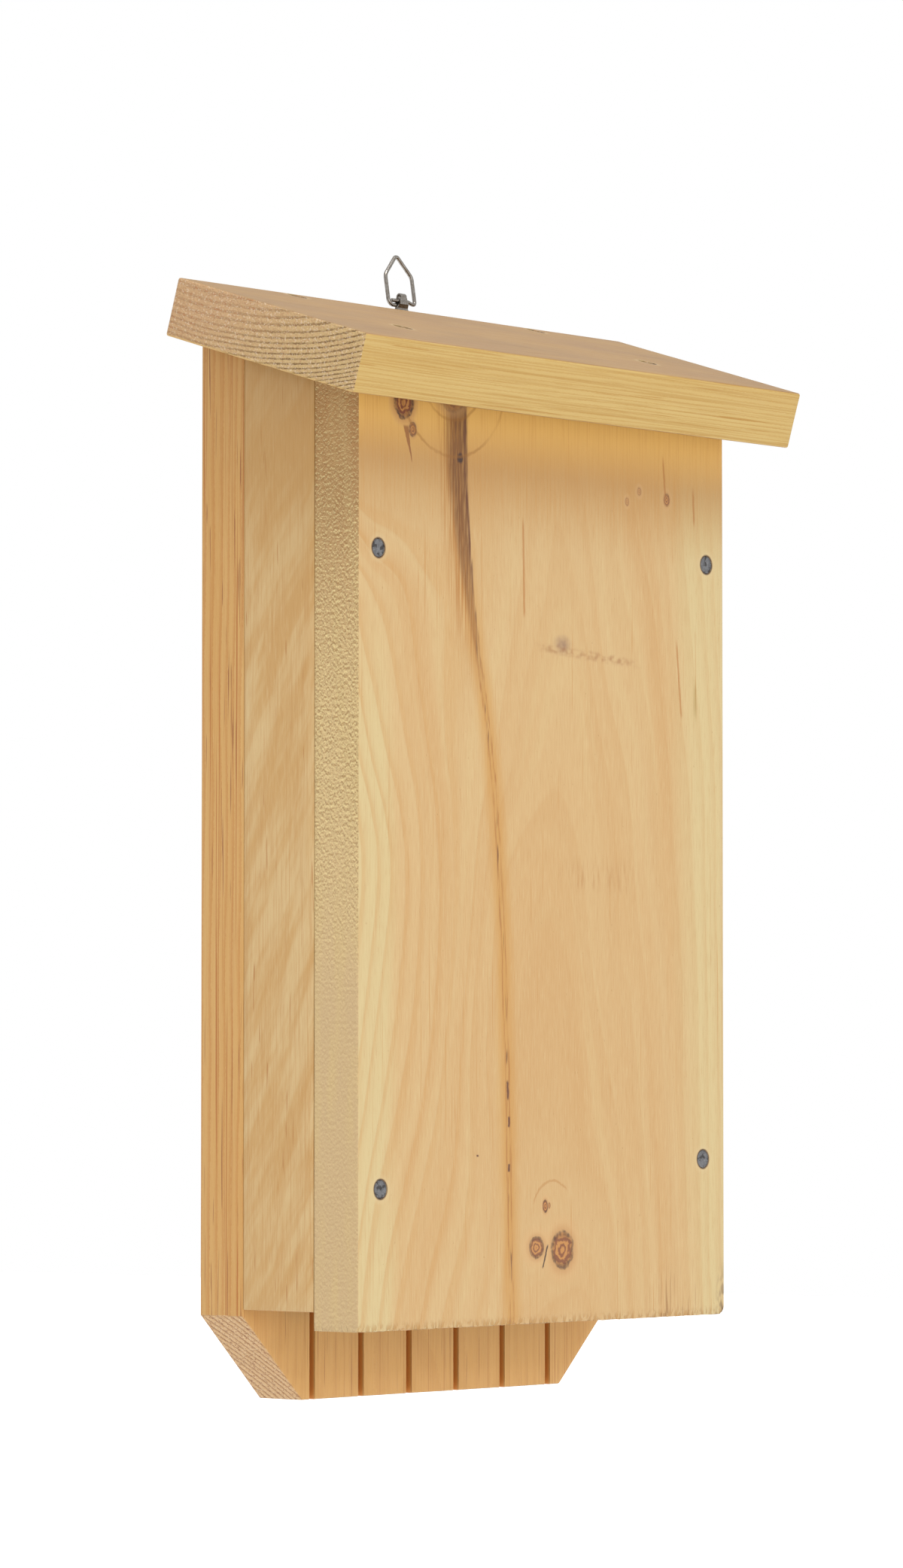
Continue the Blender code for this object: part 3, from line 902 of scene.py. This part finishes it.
# %% Knots
for distance, ragged_distance, dark, halo in knot_shapes:
    scribble = (ragged_distance * 15.0 + face.tone * 12.0 + wobble * 6.0).wave() * 0.5 + 0.5
    core = ragged_distance.step(1.06, 0.88)
    rim = ragged_distance.step(0.70, 0.92) * ragged_distance.step(1.18, 1.02)
    uneven_rim = face.spots(1.6, 0.30, 0.62, 40.0 + dark * 9.0)
    core_colour = face.mix(scribble.step(0.20, 0.80), lit(132, 74, 34), lit(206, 144, 82))
    colour = face.paint(colour, (
        (distance.step(halo * 1.25, halo * 0.8) * 0.40, (224, 180, 126)),
        (distance.step(1.7, 1.05) * 0.40 * dark, (186, 122, 66)),
    ))
    colour = face.mix(core * (0.35 + 0.60 * dark), colour, core_colour)
    colour = face.mix(rim * (0.12 + 0.74 * dark) * (0.35 + uneven_rim * 0.65), colour, lit(72, 38, 18))
print("knots painted:", len(KNOTS))

# %% Marks round the knots
DARK_PIT = (-43.2, 296.3)
CRACK = (-1.2, 44.6)
BRANCH = (-47.0, 323.0)
BRANCH_ARCS = [
    # radius in mm and how strong
    (9.5, 0.55), (15.0, 0.40), (26.5, 0.45),
]
THIN_LINES = [
    # across and height of the foot, height of the top, and how far it leans per mm
    (61.2, 291.5, 306.0, -0.10), (69.5, 219.0, 246.0, -0.10), (76.5, 283.0, 297.0, -0.05),
    (-11.5, 248.0, 281.0, -0.02),
]

pit = face.distance_from(*DARK_PIT) + wobble * 1.4
crack_up = along - CRACK[1]
off_crack = abs(across - CRACK[0] - crack_up * 0.34 + wobble * 0.8)
crack = off_crack.step(0.45, 0.15) * abs(crack_up).step(4.0, 3.0)
colour = face.paint(colour, (
    (pit.step(2.0, 0.9) * 0.85, (70, 44, 28)),
    (crack * 0.9, (72, 44, 24)),
))
from_branch = face.distance_from(*BRANCH) + wobble * 1.2
for radius, share in BRANCH_ARCS:
    arc_line = abs(from_branch - radius).step(0.75, 0.15) * face.tone.step(0.30, 0.60)
    colour = face.mix(arc_line * share, colour, lit(166, 112, 54))
tail_down = 304.0 - along
tail = abs(across + 69.4 - tail_down * 0.28 + wobble * 0.8) / (1.35 - tail_down * 0.11)
tail_share = tail.step(1.0, 0.6) * tail_down.between(-1.0, 0.0, 9.5, 11.5)
colour = face.mix(tail_share * 0.75, colour, lit(150, 90, 34))
for foot_across, foot, top, lean in THIN_LINES:
    above_foot = along - foot
    thin_line = abs(across - foot_across - above_foot * lean + wobble * 0.5).step(0.75, 0.15)
    line_share = thin_line * above_foot.step(-1.0, 2.0) * along.step(top, top - 5.0)
    colour = face.mix(line_share * 0.60, colour, lit(184, 118, 46))
over_knot = abs(face.distance_from(2.5, 58.5) + wobble * 1.6 - 10.0).step(0.6, 0.1)
over_share = over_knot * (along - across * 0.25).step(62.5, 64.5)
colour = face.mix(over_share * 0.45, colour, lit(190, 132, 72))

# %% Stains from the mill and torn fibres
smudge = face.distance_from(7.7, 240.2, 5.0, 3.4)
smudge_band = abs(along - 238.6 + across * 0.06).step(2.2, 0.2)
smudge_row = smudge_band * across.between(-8, 4, 34, 52)
mill_row = abs(along - 166.5).step(7.0, 2.0) * across.between(2, 12, 38, 52)
torn = face.spots(2.6, 0.34, 0.72, 12.0, 0.8)
lower_edge = along.step(27.0, 23.8) * face.spots(1.2, 0.46, 0.60, 3.0, 2.4)
stain_lines = across.between(48, 58, 76, 84) * along.step(44, 28)
worn = across.step(86, 92) * along.step(44, 26) * face.spots(2.0, 0.42, 0.60, 61.0, 2.0)
olive = abs(across - 77.0).step(1.6, 0.4) * abs(along - 226.0).step(9.0, 2.0)
colour = face.paint(colour, (
    (smudge.step(1.2, 0.0) * (0.45 + torn * 0.25), (128, 94, 92)),
    (smudge_row * torn * 0.60, (166, 112, 72)),
    (mill_row * face.streaks(0.8, 0.10, 47.0, 3.0).step(0.44, 0.76) * 0.45, (180, 124, 70)),
    (lower_edge * 0.50, (186, 132, 58)),
    (stain_lines * face.canals(0.60, 66.0, 0.05) * 0.50, (150, 102, 54)),
    (worn * 0.70, (100, 72, 46)),
    (olive * face.canals(0.45, 7.0) * 0.6, (168, 138, 72)),
))
colour = face.mark_nails(colour, front_heads)

# %% The front board's sawn edge and ends
sawn_edge = abs(face.facing_across).step(0.55, 0.85)
coarse = along.step(118, 168) * (0.55 + face.tone.step(0.30, 0.60) * 0.45)
peel_across = face.through / 0.85 + face.pebbles * 0.5
peel = face.noise(face.vector(peel_across, along / 1.15, 2.0), 2.5, 0.6)
peel_below = face.noise(face.vector(peel_across, (along - 0.42) / 1.15, 2.0), 2.5, 0.6)
peel_shading_slope = peel - peel_below
edge_tone = face.noise(face.vector(face.through / 5, along / 45, 2.0))
# The sawn edge gets darker towards the top: partly its coarser, torn grain, partly painted shade under the
# roof's overhang.
edge_colour = face.mix(along.step(185, 314), lit(215, 185, 140), lit(196, 150, 98))
edge_colour = face.paint(edge_colour, (
    (coarse * along.step(300, 210) * 0.6, (240, 210, 152)),
    (edge_tone.step(0.4, 0.7) * 0.4, (224, 196, 138)),
    # Painted shade and highlight on the peel's lumps: brown where a lump faces down, pale where it faces
    # up, as if lit from above.
    (peel_shading_slope.step(0.0, 0.15) * (0.16 + coarse * 0.42), (166, 124, 72)),
    (peel_shading_slope.step(-0.02, -0.17) * (0.20 + coarse * 0.70), (255, 230, 168)),
))
colour = face.mix(sawn_edge, colour, edge_colour)
colour = face.mix(face.end, colour, face.mix(face.rings * 0.6, lit(214, 174, 120), lit(150, 104, 60)))
face.feed(Base_Color=colour, Roughness=0.52 + face.tone * 0.12 + sawn_edge * 0.2)
face.bump(
    face.fibre * 0.05 + face.hair * 0.04 - face.rings * 0.03 + face.end * face.pebbles * 0.3
    + sawn_edge * peel * (0.30 + coarse * 0.90)
    - streak_core * high_part * 0.05 - crack * 0.3 - lower_edge * 0.2)
face.coat(front)
print("front pine:", len(face.tree.nodes), "nodes")

# %% [markdown]
# ### The other boards' pine
# The same recipe with other hearts and colours. The side panels are flat-sawn, so broad soft
# rings cross them on a slant. The back board's rings run at an angle through its thickness, so
# they show as lines across its cut corners and as straight, tight lines with long orange canals
# on its edges. The roof is yellow along its front edge, and its rough ends show wide arcs whose
# rings crowd together towards the bark.

# %% The side panels' pine
PANEL_AXES = (BACKWARDS, RIGHT, UP)

wood = Pine("side_pine", (0.0, front_low.y, box_foot), PANEL_AXES, (150.0, 0.0), wander=26.0)
wood.ring_across = wood.ring_across + wood.along * 0.40
wood.cut_rings(8.0, late=(0.05, 0.62))
band_place = wood.vector(wood.ring_across / 8.0, wood.along / 46, 4.0)
bands = wood.noise(band_place, 3.0, 0.6).step(0.36, 0.62)
colour = wood.mix(bands, lit(223, 191, 138), lit(211, 169, 110))
colour = wood.paint(colour, (
    (wood.rings * wood.tone.step(0.42, 0.70) * 0.26, (204, 152, 88)),
    (wood.fibre.step(0.42, 0.72) * 0.55, (202, 154, 96)),
    (wood.hair.step(0.50, 0.76) * 0.38, (230, 200, 150)),
    (wood.hair.step(0.48, 0.24) * 0.34, (190, 142, 86)),
    (wood.canals(0.72, length=0.05) * 0.6, (176, 112, 50)),
    # Painted shade: the panels darken towards the top, under the roof's overhang.
    (wood.along.step(230, 322) * 0.50, (202, 154, 90)),
    (wood.end, (206, 162, 112)),
))
wood.feed(Base_Color=colour, Roughness=0.50 + wood.tone * 0.12)
wood.bump(wood.fibre * 0.05 + wood.hair * 0.03 + wood.end * wood.pebbles * 0.2)
wood.coat(*panels.values())

# %% The back board's pine
wood = Pine("back_pine", (0.0, back_low.y, box_foot), WALL_AXES, (-10.0, 94.0), wander=8.0)
wood.cut_rings(2.2, late=(0.42, 0.88), torn=0.26)
on_edge = abs(wood.facing_across).step(0.5, 0.9)
colour = wood.mix(wood.years.step(0.3, 0.7), lit(216, 166, 99), lit(222, 178, 114))
on_front = wood.through.step(7.0, 4.0) * (1.0 - on_edge)
landing = wood.along.step(36.0, 22.0) * on_front
shown = 0.25 + on_edge * 0.50 + landing * 0.25
colour = wood.paint(colour, (
    # Painted light: the landing below the front board is painted lighter and more orange, to offset the
    # shade that the front board casts on it.
    (landing * 0.50, (244, 186, 110)),
    (wood.rings * (0.14 + on_edge * 0.34), (196, 132, 70)),
    (wood.fibre.step(0.45, 0.80) * 0.35, (198, 142, 84)),
    (wood.hair.step(0.50, 0.80) * 0.25, (228, 188, 136)),
    (wood.hair.step(0.48, 0.22) * 0.20, (190, 132, 78)),
    (wood.canals(0.62, 12.0, 0.006) * shown, (180, 108, 42)),
    (wood.canals(0.68, 71.0, 0.030) * shown * 0.9, (146, 84, 32)),
))
colour = wood.mark_nails(colour, back_heads)
# Painted light: the kerfs' insides are painted a lighter orange than the board, to offset the shade inside
# them.
in_kerf = wood.through.between(0.25, 1.0, 3.6, 4.5) * abs(wood.across).step(85, 80)
colour = wood.mix(in_kerf, colour, lit(232, 158, 86))
end_colour = wood.mix(wood.rings * 0.85, lit(213, 174, 126), lit(158, 114, 72))
end_colour = wood.paint(end_colour, (
    (wood.spots(0.8, 0.60, 0.68, 4.0) * 0.7, (140, 88, 50)),
    (wood.spots(0.6, 0.58, 0.68, 24.0) * 0.5, (238, 212, 172)),
))
colour = wood.mix(wood.end, colour, end_colour)
wood.feed(Base_Color=colour, Roughness=0.52 + wood.tone * 0.12)
wood.bump(
    wood.fibre * 0.05 + wood.hair * 0.03
    + wood.end * (wood.pebbles * 0.30 - wood.rings * 0.15))
wood.coat(back)

# %% The roof's pine
SLOPE_COS, SLOPE_SIN = math.cos(ROOF_SLOPE), math.sin(ROOF_SLOPE)
ROOF_AXES = ((0.0, -SLOPE_COS, -SLOPE_SIN), (0.0, SLOPE_SIN, -SLOPE_COS), RIGHT)

wood = Pine("roof_pine", roof_top_edge, ROOF_AXES, (12.0, -162.0), wander=3.0)
wood.cut_rings(3.7, first=160.0, crowding=0.009, late=(0.58, 0.84), torn=0.40)
towards_front = (wood.across + wood.through * 1.6).step(20, 85)
front_edge = wood.facing_across.step(0.55, 0.85)
colour = wood.mix(wood.tone.step(0.3, 0.7), lit(172, 136, 90), lit(188, 150, 97))
colour = wood.paint(colour, (
    (wood.fibre.step(0.42, 0.70) * 0.50, (154, 114, 72)),
    (wood.streaks(0.5, 0.012, 44.0).step(0.50, 0.66) * 0.4, (176, 134, 98)),
    (wood.canals(0.67, length=0.03) * 0.6, (146, 104, 62)),
))
edge_colour = wood.mix(wood.years, lit(214, 176, 104), lit(222, 192, 124))
edge_colour = wood.paint(edge_colour, (
    (wood.rings * 0.45, (196, 152, 76)),
    (wood.fibre.step(0.45, 0.75) * 0.45, (194, 150, 76)),
    (wood.streaks(1.5, 0.010, 61.0, 1.0).step(0.54, 0.64) * 0.40, (188, 142, 66)),
    (wood.canals(0.66, 5.0, 0.02) * 0.6, (186, 134, 54)),
))
colour = wood.mix(front_edge, colour, edge_colour)
colour = wood.mix(wood.hair.step(0.50, 0.80) * 0.25, colour, lit(222, 192, 138))
colour = wood.mark_nails(colour, roof_heads)
end_colour = wood.mix(towards_front, lit(210, 171, 128), lit(214, 182, 130))
broken = wood.spots(1.8, 0.34, 0.54, 51.0)
near_face = (wood.through - ROOF_THICKNESS / MM / 2).step(8.3, 9.3)
pink_share = (1.0 - towards_front) * wood.rings * wood.spots(1.1, 0.46, 0.60, 31.0)
end_colour = wood.paint(end_colour, (
    (wood.spots(0.7, 0.50, 0.66, 14.0) * 0.5, (190, 146, 108)),
    (wood.rings * (0.05 + towards_front * (0.30 + broken * 0.50)), (124, 92, 48)),
    (pink_share * 0.50, (194, 126, 80)),
    (wood.spots(0.6, 0.58, 0.68, 4.0) * 0.6, (240, 214, 184)),
    # A pale line along each rough end's lower edge: partly torn fuzz, partly painted highlight where the
    # edge catches the light.
    (near_face * 0.6, (232, 190, 116)),
))
colour = wood.mix(wood.end, colour, end_colour)
wood.feed(Base_Color=colour, Roughness=0.55 + wood.tone * 0.12 + wood.end * 0.15)
wood.bump(
    wood.fibre * 0.06 + wood.hair * 0.03
    + wood.end * (wood.pebbles * 0.40 - wood.rings * 0.25))
wood.coat(roof)

# %% [markdown]
# ## The nails
# One nail is made standing on its point and then copied. A disc is inset again and again, which
# gives its face enough rings to take dents, and the hammer's dents are a coarse Displace that
# only sinks. The shank and its tapered point are extruded from the underside. Each copy is
# spun by another angle, so no two heads show the same dents.

# %% Make one nail
HANGER_HEAD_RADIUS = 0.0024
HANGER_SHANK_RADIUS = 0.0009
HANGER_NAIL_LENGTH = 0.0150
NAIL_POINT = 0.0045
HEAD_CHAMFER = 0.00022
HEAD_RINGS = 9
DENTS = [
    # how deep and how wide the hammer's dents are
    (0.20 * MM, 0.0016),
    (0.08 * MM, 0.0005),
]
SPIN = 2 * math.pi * 0.381966  # the golden angle, so that no two heads show the same dents


def dented(place, normal):
    """Only a head's face takes the hammer's dents."""
    return fade(place.z, -0.5 * HEAD_THICKNESS, 0.0)


def make_nail(name, head, shank, length):
    """A nail along Z, with the top of its head at zero and its point downwards."""
    bpy.ops.mesh.primitive_cylinder_add(
        vertices=40, radius=head, depth=HEAD_THICKNESS, location=(0.0, 0.0, -HEAD_THICKNESS / 2))
    nail = bpy.context.active_object
    nail.name = name
    settle(nail)
    with editing(nail):
        pick("edges", lambda edge: all(abs(v.co.z) < HEAD_CHAMFER for v in edge.verts))
        bevel(HEAD_CHAMFER, 3, 0.6)
    with editing(nail, "FACE"):
        pick("faces", lambda face: face.normal.z < -0.9)
        bpy.ops.mesh.inset(thickness=head - shank)
        straight = HEAD_THICKNESS - length + NAIL_POINT
        extrude((0.0, 0.0, straight))
        extrude((0.0, 0.0, -NAIL_POINT))
        bpy.ops.transform.resize(value=(0.08, 0.08, 1.0))
    with editing(nail, "FACE"):
        pick("faces", lambda face: face.normal.z > 0.9)
        for ring in range(HEAD_RINGS):
            bpy.ops.mesh.inset(thickness=(head - HEAD_CHAMFER) / (HEAD_RINGS + 1))
        bpy.ops.mesh.poke()
    for depth, grain in DENTS:
        roughen(nail, depth, (grain, grain, grain), dented, lumps=1)
    return nail


def drive(nail, node, head, into, turn):
    """Copy a nail, spin it and put it where a CAD nail is."""
    select_only(nail)
    bpy.ops.object.duplicate()
    copy = bpy.context.active_object
    copy.name = f"{node}_hammered"
    with editing(copy):
        bpy.ops.transform.rotate(value=turn, orient_axis="Z", center_override=(0.0, 0.0, 0.0))
    copy.rotation_mode = "QUATERNION"
    copy.rotation_quaternion = Vector(into).to_track_quat("-Z", "Y")
    copy.location = head
    settle(copy)
    finish_piece(copy, "box", "galvanised_steel", node)
    return copy


# %% Drive the nails
board_nail = make_nail("board_nail", HEAD_RADIUS, SHANK_RADIUS, NAIL_LENGTH)
nails = []
for heads, into in ((front_heads, INWARDS), (back_heads, FORWARDS), (roof_heads, DOWN)):
    for node, head in heads.items():
        nails.append(drive(board_nail, node, head, into, SPIN * len(nails)))
hanger_nail = make_nail("strap_nail", HANGER_HEAD_RADIUS, HANGER_SHANK_RADIUS, HANGER_NAIL_LENGTH)
for level in LEVELS:
    node = f"hanger_nail_{level}"
    nails.append(drive(hanger_nail, node, nail_head(node, 1, 1), FORWARDS, SPIN * len(nails)))
for pattern_nail in (board_nail, hanger_nail):
    bpy.data.objects.remove(pattern_nail, do_unlink=True)
print("nails:", len(nails))

# %% [markdown]
# ### Galvanised steel
# Hot-dip zinc dulls to a blotchy grey. Each blotch is a cell with its own tone, a finer noise
# makes the frosting inside it, and the low spots keep soot and rust from the hammer.

# %% The nails' zinc
zinc = Finish("galvanised_zinc", metallic=0.55)
spot = zinc.in_mm()
blotch = zinc.node("ShaderNodeTexVoronoi", None, {"Vector": spot, "Scale": 0.9}, "Color")
blotch = zinc.dot(blotch, (0.4, 0.3, 0.3))
frost = zinc.noise(spot, 4.0, 0.65)
soot = zinc.node("ShaderNodeTexNoise", None, {"Vector": spot, "Scale": 0.55, "Detail": 3.0})
colour = zinc.mix(blotch, (0.070, 0.070, 0.075, 1.0), (0.165, 0.165, 0.170, 1.0))
colour = zinc.mix(frost.step(0.45, 0.80) * 0.6, colour, (0.26, 0.265, 0.275, 1.0))
colour = zinc.mix(soot.step(0.52, 0.62) * 0.85, colour, (0.026, 0.022, 0.020, 1.0))
zinc.feed(Base_Color=colour, Roughness=0.38 + frost * 0.3)
zinc.bump(frost * 0.06 + blotch * 0.03)
zinc.coat(*nails)
print("zinc:", len(zinc.tree.nodes), "nodes")

# %% [markdown]
# ## The hanger
# The ring is one length of bright wire, bent over pegs. A disc of the wire's radius is extruded
# along each straight and spun about each bend, exactly as the wire is fed through a bending
# tool. It is bent flat, then leaned back against the wall and set on its pivot.

# %% Bend the ring
WIRE_RADIUS = 0.00065
RING_LEAN = math.radians(9.0)
PIVOT = Vector((0.0051, 0.0002, 0.1889))
RING_CORNERS = [
    # across and up from the pivot, and the radius of the bend, in mm
    (-3.4, -1.6, 0.0), (-6.6, -1.6, 2.0), (-6.6, 8.6, 3.0), (0.0, 15.6, 1.4), (6.6, 8.6, 3.0),
    (6.6, -0.9, 1.0), (4.4, -0.45, 1.0), (3.2, 0.0, 1.0), (-5.0, 0.0, 0.0),
]
BEND_STEP = math.radians(7.0)

corners = [(Vector((across, 0.0, up)) * MM, radius * MM) for across, up, radius in RING_CORNERS]
first_run = (corners[1][0] - corners[0][0]).normalized()
bpy.ops.mesh.primitive_circle_add(
    vertices=20, radius=WIRE_RADIUS, fill_type="NGON", location=corners[0][0],
    rotation=first_run.to_track_quat("Z", "Y").to_euler())
ring = bpy.context.active_object
ring.name = "hanger_ring_wire"
settle(ring)
reached = corners[0][0]
with editing(ring, "FACE"):
    for (before, _), (corner, radius), (after, _) in zip(corners, corners[1:], corners[2:]):
        run, next_run = (corner - before).normalized(), (after - corner).normalized()
        turn = run.angle(next_run)
        straight_end = corner - run * radius * math.tan(turn / 2)
        extrude(straight_end - reached)
        axis = run.cross(next_run).normalized()
        peg = straight_end + axis.cross(run) * radius
        bpy.ops.mesh.spin(steps=max(2, round(turn / BEND_STEP)), angle=-turn, center=peg, axis=axis)
        reached = corner + next_run * radius * math.tan(turn / 2)
    extrude(corners[-1][0] - reached)
    bpy.ops.mesh.select_all(action="SELECT")
    bpy.ops.mesh.remove_doubles(threshold=1e-6)
    bpy.ops.mesh.normals_make_consistent(inside=False)
with editing(ring):
    pick("edges", lambda edge: edge.calc_face_angle(0.0) > math.radians(60.0))
    bevel(WIRE_RADIUS * 0.3, 3)
ring.rotation_euler = Euler((-RING_LEAN, 0.0, 0.0))
ring.location = PIVOT
settle(ring)
finish_piece(ring, "hanger_ring", "bright_steel", "hanger_ring")
print("ring as bent:", [round(side / MM, 2) for side in ring.dimensions], "mm")

# %% [markdown]
# ### Bright steel
# Drawn wire is polished but never clean: it has fine lines along it, a tan film of oil, and dark
# specks. The strap is the same steel, rolled flat, and its shape is right already, so the
# measured strap keeps its mesh and takes this finish.

# %% The hanger's steel
steel = Finish("bright_steel_wire", metallic=1.0)
spot = steel.in_mm()
film = steel.noise(spot, 3.0, 0.6)
lines = steel.noise(steel.vector_math("MULTIPLY", spot, (9.0, 9.0, 0.8)))
specks = steel.node("ShaderNodeTexNoise", None, {"Vector": spot, "Scale": 2.6, "Detail": 1.0})
specks = specks.step(0.66, 0.72)
colour = steel.mix(film.step(0.35, 0.70), (0.30, 0.28, 0.255, 1.0), (0.20, 0.17, 0.14, 1.0))
colour = steel.mix(lines.step(0.45, 0.80) * 0.6, colour, (0.10, 0.085, 0.07, 1.0))
colour = steel.mix(specks * 0.8, colour, (0.05, 0.045, 0.04, 1.0))
steel.feed(Base_Color=colour, Roughness=0.16 + film * 0.16 + specks * 0.3)
steel.bump(lines * 0.012 - specks * 0.02)
steel.coat(ring)
strap = bpy.data.objects["hanger_strap"]
for slot in strap.material_slots:
    slot.material = steel.material
print("strap slots:", len(strap.material_slots))
